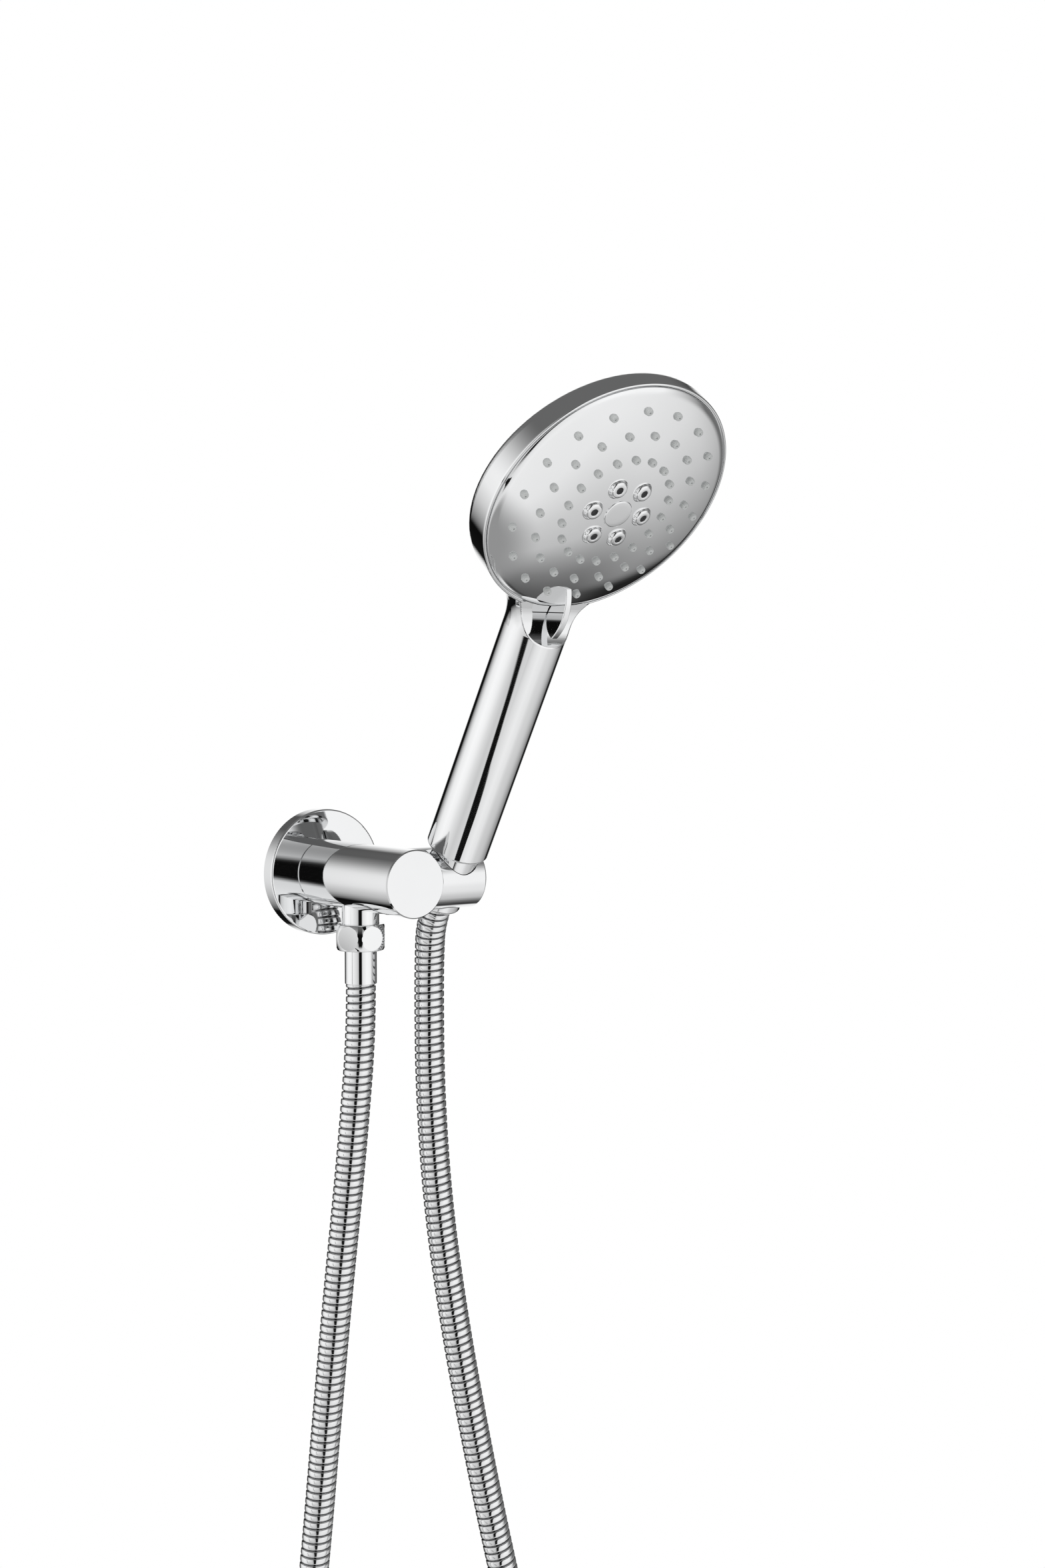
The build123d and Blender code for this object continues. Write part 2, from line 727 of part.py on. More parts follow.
# Diverter disc: turns with the face plate over the chamber plate
disc_low = chamber_top + face_gap
detent_track = CenterArc((0, 0), detent_r, -selector_swing, 2 * selector_swing)
with BuildPart() as diverter_disc:
    with BuildSketch(face.offset(disc_low)):
        Circle(disc_r)
        Circle(pivot_d / 2 + running_gap, mode=Mode.SUBTRACT)
        with PolarLocations(chamber_slot_r, disc_ports, start_angle=selector_swing):
            Circle(disc_port_d / 2, mode=Mode.SUBTRACT)
        SlotArc(detent_track, ball_d + 2 * face_gap, mode=Mode.SUBTRACT)
    extrude(amount=disc_t)
save(diverter_disc.part, "diverter_disc")

# Pivot bolt: screwed into the casing, carries the turning face plate
disc_top = disc_low + disc_t
hub_top = dome_height(0) - face_t
pivot_head_low = hub_top - pivot_head_t - 2 * seat_gap - cap_t
with BuildPart() as pivot_bolt:
    with BuildSketch(face.offset(-cavity_depth - pivot_grip + seat_gap)):
        Circle(pivot_d / 2)
    extrude(amount=pivot_head_low + cavity_depth + pivot_grip - seat_gap)
    with BuildSketch(face.offset(pivot_head_low)):
        Circle(pivot_head_d / 2)
    extrude(amount=pivot_head_t)
    chamfer(pivot_bolt.edges().filter_by(GeomType.CIRCLE).sort_by(face_axis)[0], length=0.5)
save(pivot_bolt.part, "pivot_bolt")

# Face plate: dome with a rolled edge, a skirt, a bored hub and a raised
# boss round each jet
skirt_foot = -face_skirt
boss_foot = dome_height(jet_ring_r + jet_base_d / 2) - face_t / 4
boss_top = dome_height(jet_ring_r) + jet_boss_out
boss_waist = (
    jet_collar_d / 2 + (jet_base_d - jet_collar_d) / 8,
    boss_foot + (boss_top - boss_foot) / 3,
)
jet_shifts = []
for index in range(jet_count):
    angle = radians(jet_turn - 90 + 360 * index / jet_count)
    jet_shifts.append(face.x_dir * (jet_ring_r * cos(angle)) + face.y_dir * (jet_ring_r * sin(angle)))
roll_centre = (face_flat_r, face_edge_rise - face_roll)
roll_mid = face_roll * sqrt(0.5)
with BuildPart() as face_plate:
    with BuildSketch(face_section):
        with BuildLine():
            dome = ThreePointArc(
                (0, face_dome),
                (face_flat_r / 2, dome_height(face_flat_r / 2)),
                (face_flat_r, face_edge_rise),
            )
            roll = ThreePointArc(
                (face_flat_r, face_edge_rise),
                (roll_centre[0] + roll_mid, roll_centre[1] + roll_mid),
                (face_r, roll_centre[1]),
            )
            Polyline(
                (face_r, roll_centre[1]),
                (face_r, skirt_foot),
                (face_r - face_t, skirt_foot),
                (face_r - face_t, roll_centre[1]),
                (face_flat_r, face_edge_rise - face_t),
            )
            ThreePointArc(
                (face_flat_r, face_edge_rise - face_t),
                (face_flat_r / 2, dome_height(face_flat_r / 2) - face_t),
                (0, face_dome - face_t),
            )
            Line((0, face_dome - face_t), (0, face_dome))
        make_face()
    revolve(axis=face_axis)
    hub_low = disc_top + seat_gap
    with BuildSketch(face.offset(hub_low)):
        Circle(hub_d / 2)
    extrude(amount=hub_top + face_t / 2 - hub_low)
    with BuildSketch(face.offset(hub_low)):
        Circle(pivot_d / 2 + running_gap)
    extrude(amount=hub_top - hub_low, mode=Mode.SUBTRACT)
    with BuildSketch(face.offset(pivot_head_low - seat_gap)):
        Circle(pivot_head_d / 2 + face_gap)
    extrude(amount=face_dome, mode=Mode.SUBTRACT)
    for radius, start in nozzle_rings:
        with BuildSketch(face.offset(skirt_foot)):
            with PolarLocations(radius, nozzle_count, start_angle=start):
                Circle(nozzle_d / 2 + seat_gap)
        extrude(amount=face_dome - skirt_foot, mode=Mode.SUBTRACT)
    with BuildSketch(face_section):
        with BuildLine():
            Polyline((0, boss_foot), (jet_base_d / 2, boss_foot))
            ThreePointArc((jet_base_d / 2, boss_foot), boss_waist, (jet_collar_d / 2, boss_top))
            Polyline((jet_collar_d / 2, boss_top), (0, boss_top), (0, boss_foot))
        make_face()
    one_boss = revolve(axis=face_axis, mode=Mode.PRIVATE)
    for shift in jet_shifts:
        add(one_boss.moved(Location(shift)))
    with BuildSketch(face.offset(hub_low)):
        with PolarLocations(jet_ring_r, jet_count, start_angle=jet_turn - 90):
            Circle(jet_shank_d / 2 + seat_gap)
    extrude(amount=boss_top - hub_low, mode=Mode.SUBTRACT)
save(face_plate.part, "face_plate")

# Rubber lip ring between the skirt's foot and the chamber plate
face_seal = ring(face, chamber_top, skirt_foot - seat_gap, face_r, face_r - face_seal_w)
save(face_seal, "face_seal")

# Nozzle mat: one soft moulding, its nozzles pushed out through the plate
mat_inner = jet_ring_r + jet_shank_d / 2 + 2 * seat_gap
mat_top = -face_t - seat_gap
with BuildPart() as nozzle_mat:
    with BuildSketch(face_section):
        with BuildLine():
            mat_mid = (mat_inner + mat_r) / 2
            ThreePointArc(
                (mat_inner, dome_height(mat_inner) + mat_top),
                (mat_mid, dome_height(mat_mid) + mat_top),
                (mat_r, dome_height(mat_r) + mat_top),
            )
            Line((mat_r, dome_height(mat_r) + mat_top), (mat_r, dome_height(mat_r) + mat_top - mat_t))
            ThreePointArc(
                (mat_r, dome_height(mat_r) + mat_top - mat_t),
                (mat_mid, dome_height(mat_mid) + mat_top - mat_t),
                (mat_inner, dome_height(mat_inner) + mat_top - mat_t),
            )
            Line(
                (mat_inner, dome_height(mat_inner) + mat_top - mat_t),
                (mat_inner, dome_height(mat_inner) + mat_top),
            )
        make_face()
    revolve(axis=face_axis)
    for radius, start in nozzle_rings:
        foot = dome_height(radius) + mat_top - mat_t / 2
        tip = dome_height(radius) + nozzle_out
        shoulder = tip - nozzle_out / 2
        with BuildSketch(face.offset(foot)):
            with PolarLocations(radius, nozzle_count, start_angle=start):
                Circle(nozzle_d / 2)
        extrude(amount=shoulder - foot)
        with BuildSketch(face.offset(shoulder)):
            with PolarLocations(radius, nozzle_count, start_angle=start):
                Circle(nozzle_d / 2)
        nozzle_draft = degrees(acos(nozzle_out / 2 / sqrt((nozzle_out / 2) ** 2 + 0.3**2)))
        extrude(amount=tip - shoulder, taper=nozzle_draft)
        with BuildSketch(face.offset(tip)):
            with PolarLocations(radius, nozzle_count, start_angle=start):
                Circle(nozzle_hole_d / 2)
        extrude(amount=-nozzle_hole_deep, mode=Mode.SUBTRACT)
save(nozzle_mat.part, "nozzle_mat")

# Jet nozzles: six plated inserts pressed through the bosses round the centre
jet_foot = dome_height(jet_ring_r) - face_t - seat_gap
jet_top = dome_height(jet_ring_r) + jet_out
with BuildPart() as one_jet:
    with BuildSketch(face.offset(jet_foot)):
        Circle(jet_shank_d / 2)
    extrude(amount=boss_top + seat_gap - jet_foot)
    with BuildSketch(face.offset(boss_top + seat_gap)):
        Circle(jet_collar_d / 2)
    extrude(amount=jet_top - boss_top - seat_gap)
    fillet(one_jet.edges().filter_by(GeomType.CIRCLE).sort_by(face_axis)[-1], radius=jet_edge_r)
    with BuildSketch(face.offset(jet_foot)):
        Circle(jet_bore_d / 2)
    extrude(amount=jet_top - jet_foot, mode=Mode.SUBTRACT)
with BuildPart() as jet_nozzles:
    for shift in jet_shifts:
        add(one_jet.part.moved(Location(shift)))
save(jet_nozzles.part, "jet_nozzles")

# Centre cap: a plain disc snapped over the pivot bolt
cap_foot = hub_top + face_t - cap_t
with BuildPart() as centre_cap:
    with BuildSketch(face.offset(pivot_head_low + pivot_head_t + seat_gap)):
        Circle(pivot_head_d / 2 + face_gap - seat_gap)
    extrude(amount=face_dome - pivot_head_low - pivot_head_t)
    with BuildSketch(face.offset(face_dome)):
        Circle(cap_d / 2)
    extrude(amount=cap_out)
    fillet(centre_cap.edges().filter_by(GeomType.CIRCLE).sort_by(face_axis)[-1], radius=cap_out / 2)
save(centre_cap.part, "centre_cap")

# Selector fin: a thin crescent blade on the face plate's edge, over the scoop
fin_top = (fin_top_up - head_r, fin_top_out)
fin_crest = (fin_crest_up - head_r, fin_crest_out)
fin_toe = (fin_toe_up - head_r, fin_toe_out)
with BuildPart() as fin_blade:
    with BuildSketch():
        with BuildLine():
            ThreePointArc(fin_top, fin_crest, fin_toe)
            heel = (scoop_mid[0] + 2 * fin_gap, scoop_mid[1] + 2 * fin_gap)
            ThreePointArc(fin_toe, heel, (-head_r + fin_gap, fin_gap))
            Polyline((-head_r + fin_gap, fin_gap), (-face_flat_r, fin_gap), (fin_top[0], 0), fin_top)
        make_face()
    extrude(amount=fin_t / 2, both=True)
    fillet(fin_blade.edges().filter_by(GeomType.CIRCLE).sort_by(SortBy.LENGTH)[-2:], radius=fin_edge_r)
with BuildPart() as selector_fin:
    add(side.location * fin_blade.part)
    with BuildSketch(face_section):
        with BuildLine():
            ThreePointArc(
                (0, face_dome),
                (face_flat_r / 2, dome_height(face_flat_r / 2)),
                (face_flat_r, face_edge_rise),
            )
            ThreePointArc(
                (face_flat_r, face_edge_rise),
                (roll_centre[0] + roll_mid, roll_centre[1] + roll_mid),
                (face_r, roll_centre[1]),
            )
            Polyline(
                (face_r, roll_centre[1]),
                (face_r, skirt_foot),
                (0, skirt_foot),
                (0, face_dome),
            )
        make_face()
    revolve(axis=face_axis, mode=Mode.SUBTRACT)
save(selector_fin.part, "selector_fin")
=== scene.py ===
import math

import bpy
import numpy as np
from mathutils import Matrix, Vector
from mathutils.kdtree import KDTree


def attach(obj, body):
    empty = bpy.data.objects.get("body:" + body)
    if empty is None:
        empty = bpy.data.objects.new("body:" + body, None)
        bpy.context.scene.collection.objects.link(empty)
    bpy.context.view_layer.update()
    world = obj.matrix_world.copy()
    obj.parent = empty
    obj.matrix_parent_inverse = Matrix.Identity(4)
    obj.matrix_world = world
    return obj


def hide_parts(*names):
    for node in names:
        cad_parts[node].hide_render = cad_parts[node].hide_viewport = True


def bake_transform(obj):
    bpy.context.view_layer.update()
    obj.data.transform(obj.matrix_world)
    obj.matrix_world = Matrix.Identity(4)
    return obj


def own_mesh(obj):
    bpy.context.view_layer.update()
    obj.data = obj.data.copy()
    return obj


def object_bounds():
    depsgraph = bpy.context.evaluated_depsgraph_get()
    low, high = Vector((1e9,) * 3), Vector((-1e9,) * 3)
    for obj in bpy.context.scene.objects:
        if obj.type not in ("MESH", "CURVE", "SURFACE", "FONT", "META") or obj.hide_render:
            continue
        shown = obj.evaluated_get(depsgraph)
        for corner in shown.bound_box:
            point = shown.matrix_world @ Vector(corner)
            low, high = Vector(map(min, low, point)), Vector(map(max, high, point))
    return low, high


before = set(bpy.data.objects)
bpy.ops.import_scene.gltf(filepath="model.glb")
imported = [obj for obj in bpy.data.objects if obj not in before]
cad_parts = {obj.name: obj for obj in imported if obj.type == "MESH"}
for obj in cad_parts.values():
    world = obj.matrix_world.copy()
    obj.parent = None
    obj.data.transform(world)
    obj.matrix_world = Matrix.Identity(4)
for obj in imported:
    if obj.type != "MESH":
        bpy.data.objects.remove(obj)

cad_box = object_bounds()

# Wall outlet: turned flange, straight body with the holder arm brazed to its side, and the stub.
# All brass, polished and chrome plated; the body screws on the nipple and presses the flange home.
# The plating is a mirror, with a faint haze left by polishing and by hard water.
cloud_scale = 38.0
bump_depth = 0.0002


class Wire:
    """One socket of a node tree: sums on it add Math nodes, and node() adds any other node."""

    def __init__(self, tree, socket=None):
        self.tree, self.socket = tree, socket

    def node(self, kind, settings, values, output):
        made = self.tree.nodes.new(kind)
        for key, value in settings.items():
            if key == "stops":
                stops = made.color_ramp.elements
                while len(stops) < len(value):
                    stops.new(0.5)
                for stop, (place, grey) in zip(stops, value):
                    stop.position = place
                    stop.color = (grey, grey, grey, 1)
            else:
                setattr(made, key, value)
        for key, value in values.items():
            if isinstance(value, Wire):
                self.tree.links.new(value.socket, made.inputs[key])
            else:
                made.inputs[key].default_value = value
        return Wire(self.tree, made.outputs[output])

    def mixed(self, weight, first, second):
        values = {"Factor": weight, "A": first, "B": second}
        return self.node("ShaderNodeMix", {"data_type": "RGBA"}, values, "Result")

    def math(self, operation, first, second):
        return self.node("ShaderNodeMath", {"operation": operation}, {0: first, 1: second}, 0)

    def __add__(self, other):
        return self.math("ADD", self, other)

    def __radd__(self, other):
        return self.math("ADD", other, self)

    def __sub__(self, other):
        return self.math("SUBTRACT", self, other)

    def __rsub__(self, other):
        return self.math("SUBTRACT", other, self)

    def __mul__(self, other):
        return self.math("MULTIPLY", self, other)

    def __rmul__(self, other):
        return self.math("MULTIPLY", other, self)


def finish(name, colour, worn, metallic, gloss, haze, grain, grain_scale, lump=0.0):
    """A material whose colour drifts to a worn tone and whose gloss is broken by haze and grain."""
    material = bpy.data.materials.new(name)
    material.use_nodes = True
    tree = material.node_tree
    shader = tree.nodes["Principled BSDF"]
    shader.inputs["Metallic"].default_value = metallic
    start = Wire(tree)
    at = start.node("ShaderNodeTexCoord", {}, {}, "Object")
    coarse_noise = {"Vector": at, "Scale": cloud_scale, "Detail": 4.0}
    cloud = start.node("ShaderNodeTexNoise", {}, coarse_noise, "Fac")
    fine_noise = {"Vector": at, "Scale": grain_scale, "Detail": 3.0}
    fine = start.node("ShaderNodeTexNoise", {}, fine_noise, "Fac")
    tone = start.mixed(cloud, (*colour, 1), (*worn, 1))
    rough = gloss + cloud * haze + fine * grain
    tree.links.new(tone.socket, shader.inputs["Base Color"])
    tree.links.new(rough.socket, shader.inputs["Roughness"])
    if lump:
        lumps = {"Strength": lump, "Distance": bump_depth, "Height": fine}
        bump = start.node("ShaderNodeBump", {}, lumps, "Normal")
        tree.links.new(bump.socket, shader.inputs["Normal"])
    return material


def dress(material, *nodes):
    for name in nodes:
        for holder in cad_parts[name].material_slots:
            holder.material = material


chrome = finish(
    "plated_chrome", colour=(0.87, 0.875, 0.88), worn=(0.83, 0.835, 0.84),
    metallic=1.0, gloss=0.012, haze=0.02, grain=0.01, grain_scale=900.0,
)
dress(chrome, "wall_flange", "outlet_body", "holder_arm", "outlet_stub")

# Supply nipple: a brass tube with a pipe thread, which screws into the wall fitting and carries
# the whole set. Turned and left unplated; its front end is plain and goes into the body.
brass = finish(
    "turned_brass", colour=(0.80, 0.62, 0.33), worn=(0.68, 0.50, 0.24),
    metallic=1.0, gloss=0.22, haze=0.12, grain=0.10, grain_scale=700.0,
)
thread_d = 0.020955
thread_pitch = 0.001814
thread_length = 0.0125
thread_steps = 60
thread_sides = 48
thread_profile = [(0.0, 0.0), (0.1, 0.02), (0.44, 1.12), (0.56, 1.12), (0.9, 0.02)]
nipple_bore = 7.5
nipple_root = 9.2
nipple_back = 14.0
nipple_front = -24.0
sleeve_outline = [
    (nipple_bore, nipple_back), (nipple_root, nipple_back), (10.25, 13.1), (10.25, 12.3),
    (nipple_root, 12.3), (nipple_root, 0.3), (10.0, 0.3), (10.0, -23.5), (9.5, nipple_front),
    (nipple_bore, nipple_front), (nipple_bore, nipple_back),
]


def pick(*pieces):
    """Selects these pieces and nothing else; the first one is active."""
    bpy.ops.object.select_all(action="DESELECT")
    for piece in pieces:
        piece.select_set(True)
    bpy.context.view_layer.objects.active = pieces[0]


def turned(name, outline, place, steps, crease):
    """A piece turned on a lathe: (radius, height) points in millimetres, drawn out and spun."""
    bpy.ops.object.select_all(action="DESELECT")
    bpy.ops.mesh.primitive_plane_add(size=0.001, location=(0, 0, 0))
    piece = bpy.context.object
    piece.name = name
    bpy.ops.object.mode_set(mode="EDIT")
    bpy.ops.mesh.select_mode(type="VERT")
    bpy.ops.mesh.select_all(action="SELECT")
    bpy.ops.mesh.merge(type="CENTER")
    bpy.ops.transform.translate(value=(outline[0][0] / 1000, 0, outline[0][1] / 1000))
    for (radius, height), (next_radius, next_height) in zip(outline, outline[1:]):
        stroke = ((next_radius - radius) / 1000, 0, (next_height - height) / 1000)
        bpy.ops.mesh.extrude_vertices_move(TRANSFORM_OT_translate={"value": stroke})
    bpy.ops.mesh.select_all(action="SELECT")
    bpy.ops.mesh.spin(steps=steps, angle=2 * math.pi, center=(0, 0, 0), axis=(0, 0, 1))
    bpy.ops.mesh.select_all(action="SELECT")
    bpy.ops.mesh.remove_doubles(threshold=0.000002)
    bpy.ops.mesh.normals_make_consistent(inside=False)
    bpy.ops.object.mode_set(mode="OBJECT")
    bpy.ops.object.shade_smooth_by_angle(angle=math.radians(crease))
    piece.matrix_world = place
    bpy.ops.object.transform_apply(location=True, rotation=True, scale=True)
    return piece


def wound_tube(name, points, radius, pitch, profile, sides, crease):
    """A tube wound from one strip: its rings climb by one pitch for each turn round the line.

    The profile gives (place, depth) over one pitch, the depth in millimetres."""
    steps = np.linalg.norm(np.diff(points, axis=0), axis=1)
    run = np.concatenate([[0], np.cumsum(steps)])
    along = np.gradient(points, run, axis=0)
    along /= np.linalg.norm(along, axis=1)[:, None]
    across = np.zeros_like(points)
    side = np.cross(along[0], (0.3, 1.0, 0.2))
    for index, heading in enumerate(along):
        side = side - heading * side.dot(heading)
        side /= np.linalg.norm(side)
        across[index] = side
    turns = range(-1, int(run[-1] / pitch) + 2)
    rows = np.array([turn + place for turn in turns for place, depth in profile])
    depths = np.array([depth / 1000 for turn in turns for place, depth in profile])
    angles = 2 * math.pi * np.arange(sides) / sides
    reach = np.clip((rows[:, None] + np.arange(sides) / sides) * pitch, 0, run[-1])

    def at_reach(values):
        return np.stack([np.interp(reach, run, values[:, axis]) for axis in range(3)], axis=-1)

    right = at_reach(across)
    up = np.cross(at_reach(along), right)
    spoke = right * np.cos(angles)[:, None] + up * np.sin(angles)[:, None]
    places = at_reach(points) + spoke * (radius - depths)[:, None, None]
    faces = []
    ring = len(profile)
    for row in range(len(rows) - 1):
        for step in range(sides):
            here = row * sides + step
            if step < sides - 1:
                faces.append((here, here + 1, here + 1 + sides, here + sides))
            elif row + ring + 1 < len(rows):
                wrap = (row + ring) * sides
                faces.append((here, wrap, wrap + sides, here + sides))
    mesh = bpy.data.meshes.new(name)
    mesh.from_pydata(places.reshape(-1, 3).tolist(), [], faces)
    tube = bpy.data.objects.new(name, mesh)
    bpy.context.scene.collection.objects.link(tube)
    pick(tube)
    bpy.ops.object.mode_set(mode="EDIT")
    bpy.ops.mesh.select_all(action="SELECT")
    bpy.ops.mesh.remove_doubles(threshold=0.00001)
    bpy.ops.mesh.dissolve_degenerate(threshold=0.00001)
    bpy.ops.mesh.normals_make_consistent(inside=False)
    bpy.ops.object.mode_set(mode="OBJECT")
    bpy.ops.object.shade_smooth_by_angle(angle=math.radians(crease))
    return tube


thread_line = np.array(
    [(0, thread_length * step / thread_steps, 0) for step in range(thread_steps + 1)]
)
nipple = wound_tube(
    "threaded_nipple", thread_line, thread_d / 2, thread_pitch, thread_profile, thread_sides,
    crease=30,
)
towards_wall = Matrix.Rotation(math.radians(-90), 4, "X")
sleeve = turned("nipple_sleeve", sleeve_outline, towards_wall, steps=64, crease=30)
pick(nipple, sleeve)
bpy.ops.object.join()
nipple.data.materials.append(brass)
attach(nipple, "wall_outlet")
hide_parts("supply_nipple")

# Lock screw, pivot bolt, detent ball and seals: small bright steel parts and flat rubber rings.
# The steel is left unplated and the rubber is moulded; each sits in the pocket cut for it.
steel = finish(
    "bright_steel", colour=(0.62, 0.62, 0.64), worn=(0.52, 0.52, 0.54),
    metallic=1.0, gloss=0.18, haze=0.10, grain=0.08, grain_scale=900.0,
)
rubber = finish(
    "moulded_rubber", colour=(0.035, 0.036, 0.038), worn=(0.055, 0.055, 0.057),
    metallic=0.0, gloss=0.55, haze=0.15, grain=0.12, grain_scale=1200.0, lump=0.15,
)
dress(steel, "lock_screw", "pivot_bolt", "detent_ball")
dress(rubber, "flange_gasket", "supply_washer", "hose_nut_washer", "cone_washer", "face_seal")

# Valve spring: a coil of steel wire that presses the check valve's poppet up against its seat.
# Its foot rests in the cage. The real spring shortens by the poppet's stroke when water opens the
# valve; this copy sits rigidly on the outlet and keeps its length.
stub_y = -0.036


def node_copy(node, name, material):
    """A copy of a CAD node with a mesh of its own, to be reshaped in the node's place."""
    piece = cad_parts[node].copy()
    piece.data = piece.data.copy()
    piece.name = name
    bpy.context.scene.collection.objects.link(piece)
    for holder in piece.material_slots:
        holder.material = material
    return piece


spring = node_copy("check_valve_spring", "valve_spring", steel)
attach(spring, "wall_outlet")
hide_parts("check_valve_spring")
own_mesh(spring)

# Non-return valve, flow limiter, water tube and chamber plates: white plastic inside the set.
# They are moulded, pressed or screwed in place, and show only when the set is taken apart.
plastic = finish(
    "white_moulding", colour=(0.80, 0.80, 0.78), worn=(0.74, 0.74, 0.71),
    metallic=0.0, gloss=0.38, haze=0.10, grain=0.08, grain_scale=800.0, lump=0.05,
)
dress(plastic, "check_valve_cage", "check_valve_poppet", "inlet_spigot", "flow_limiter")
dress(plastic, "water_tube", "chamber_plate", "diverter_disc")

# Hose nut and wall ferrule: a hexagon nut with rounded ends, which swivels on the hose's sleeve.
# Chrome-plated brass, turned to a barrel before its six flats are cut.
# The nut clamps a washer against the stub.
nut_flat = 10.75
nut_top = -20.9
nut_foot = -32.8
nut_bore = 8.5
nut_eye = 7.4
nut_end = 10.7
nut_chamfer = 0.45
nut_floor = nut_foot + 1.6
nut_turn = -4


def bow(start, corner, end, steps):
    """A rounded corner of an outline: points from start to end, drawn towards the corner."""
    ways = [step / steps for step in range(steps + 1)]
    return [
        tuple(
            (1 - way) ** 2 * a + 2 * way * (1 - way) * b + way**2 * c
            for a, b, c in zip(start, corner, end)
        )
        for way in ways
    ]


dress(chrome, "hose_wall_ferrule")
nut_shoulder = (nut_end, nut_top - nut_chamfer)
nut_heel = (nut_end, nut_foot + nut_chamfer)
nut_outline = [(nut_bore, nut_top), (10.2, nut_top)]
nut_outline += bow((10.2, nut_top), (10.6, nut_top), nut_shoulder, 3)[1:]
nut_outline += bow(nut_shoulder, (13.2, (nut_top + nut_foot) / 2), nut_heel, 16)[1:]
nut_outline += bow(nut_heel, (10.6, nut_foot), (10.2, nut_foot), 3)[1:]
nut_outline += [(nut_eye, nut_foot), (nut_eye, nut_floor), (nut_bore, nut_floor)]
nut_outline += [(nut_bore, nut_top)]
nut_place = Matrix.Translation((0, stub_y, 0)) @ Matrix.Rotation(math.radians(nut_turn), 4, "Z")
nut = turned("hexagon_nut", nut_outline, nut_place, steps=120, crease=40)
pick(nut)
bpy.ops.object.mode_set(mode="EDIT")
for side in range(6):
    turn = Matrix.Rotation(math.radians(60 * side + 30), 3, "Z")
    facing = nut_place.to_3x3() @ (turn @ Vector((1, 0, 0)))
    flat_spot = nut_place.translation + facing * nut_flat / 1000
    bpy.ops.mesh.select_all(action="SELECT")
    bpy.ops.mesh.bisect(plane_co=flat_spot, plane_no=facing, use_fill=True, clear_outer=True)
bpy.ops.object.mode_set(mode="OBJECT")
for face in nut.data.polygons:
    face.use_smooth = len(face.vertices) < 8
nut.data.materials.append(chrome)
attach(nut, "wall_outlet")
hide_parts("hose_nut")

# Shower hose: a plated strip wound into interlocking rings round a rubber tube, one long screw.
# It hangs from the wall ferrule in a loop and comes back up into the handset's cone.
# A brass ferrule is crimped on that end; the grooves between the rings are darkened with painted
# shade.
hose_route = [
    (0, -36, -48.2), (0, -36, -70), (-2.6, -34.3, -110), (-5.4, -32.1, -148), (-8.8, -29.4, -190),
    (-13.2, -25.8, -252), (-17.4, -22.6, -314), (-23.2, -19.8, -372), (-30.2, -17.6, -430),
    (-36.5, -16.2, -482), (-35.6, -17.9, -526.6), (-14, -31.3, -561.6), (21, -53, -575),
    (56, -74.7, -561.6), (77.6, -88.1, -526.6), (79.6, -89.6, -482), (73, -85.4, -428),
    (62.6, -79.2, -372), (51.6, -72.4, -316), (42.6, -65.9, -261), (35.0, -59.2, -205),
    (29.4, -54.0, -150), (27.2, -51.2, -97), (27.6, -50.0, -58), (28.3, -49.3, -37),
    (26.6, -52.91, -20.94), (26.6, -58.49, -11.46),
]
hose_d = 0.0136
hose_pitch = 0.00335
hose_sides = 24
ring_profile = [
    (0.00, 0.80), (0.12, 0.80), (0.15, 0.44), (0.20, 0.18), (0.27, 0.05),
    (0.37, 0.0), (0.76, 0.0), (0.86, 0.05), (0.93, 0.18), (0.97, 0.44),
]
# Painted shade in the grooves: it begins at groove_top below the crown and is full at groove_foot.
groove_top = 0.0003
groove_foot = 0.0008
groove_shade_grey = (0.14, 0.14, 0.145, 1)


def spline_points(name, route):
    """The points of a smooth NURBS line through a route in millimetres, as Blender draws it."""
    curve = bpy.data.curves.new(name, "CURVE")
    curve.dimensions = "3D"
    line = curve.splines.new("NURBS")
    line.points.add(len(route) - 1)
    for point, place in zip(line.points, route):
        point.co = (*(value / 1000 for value in place), 1)
    line.order_u = 3
    line.use_endpoint_u = True
    line.resolution_u = 40
    holder = bpy.data.objects.new(name, curve)
    bpy.context.scene.collection.objects.link(holder)
    bpy.context.view_layer.update()
    drawn = holder.evaluated_get(bpy.context.evaluated_depsgraph_get())
    mesh = bpy.data.meshes.new_from_object(drawn)
    points = np.array([vertex.co for vertex in mesh.vertices])
    bpy.data.objects.remove(holder)
    bpy.data.curves.remove(curve)
    bpy.data.meshes.remove(mesh)
    return points


dress(brass, "hose_end_ferrule")
hose_metal = finish(
    "wound_strip", colour=(0.84, 0.845, 0.85), worn=(0.78, 0.785, 0.79),
    metallic=1.0, gloss=0.05, haze=0.04, grain=0.03, grain_scale=1200.0,
)
hose_line = spline_points("hose_route", hose_route)
hose = wound_tube(
    "wound_hose", hose_line, hose_d / 2, hose_pitch, ring_profile, hose_sides, crease=70
)
hose.data.materials.append(hose_metal)
hose_tree = KDTree(len(hose_line))
for index, point in enumerate(hose_line):
    hose_tree.insert(point, index)
hose_tree.balance()
# Painted shade: each vertex's depth into a groove sets how far its base colour darkens towards
# grey.
groove = hose.data.attributes.new("groove", "FLOAT", "POINT")
for vertex in hose.data.vertices:
    depth = hose_d / 2 - hose_tree.find(vertex.co)[2]
    share = (depth - groove_top) / (groove_foot - groove_top)
    groove.data[vertex.index].value = min(max(share, 0.0), 1.0)
tree = hose_metal.node_tree
hose_colour = tree.nodes["Principled BSDF"].inputs["Base Color"]
plated = Wire(tree, hose_colour.links[0].from_socket)
shade_in_groove = plated.node("ShaderNodeAttribute", {"attribute_name": "groove"}, {}, "Fac")
tree.links.new(plated.mixed(shade_in_groove, plated, groove_shade_grey).socket, hose_colour)
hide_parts("shower_hose")
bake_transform(hose)

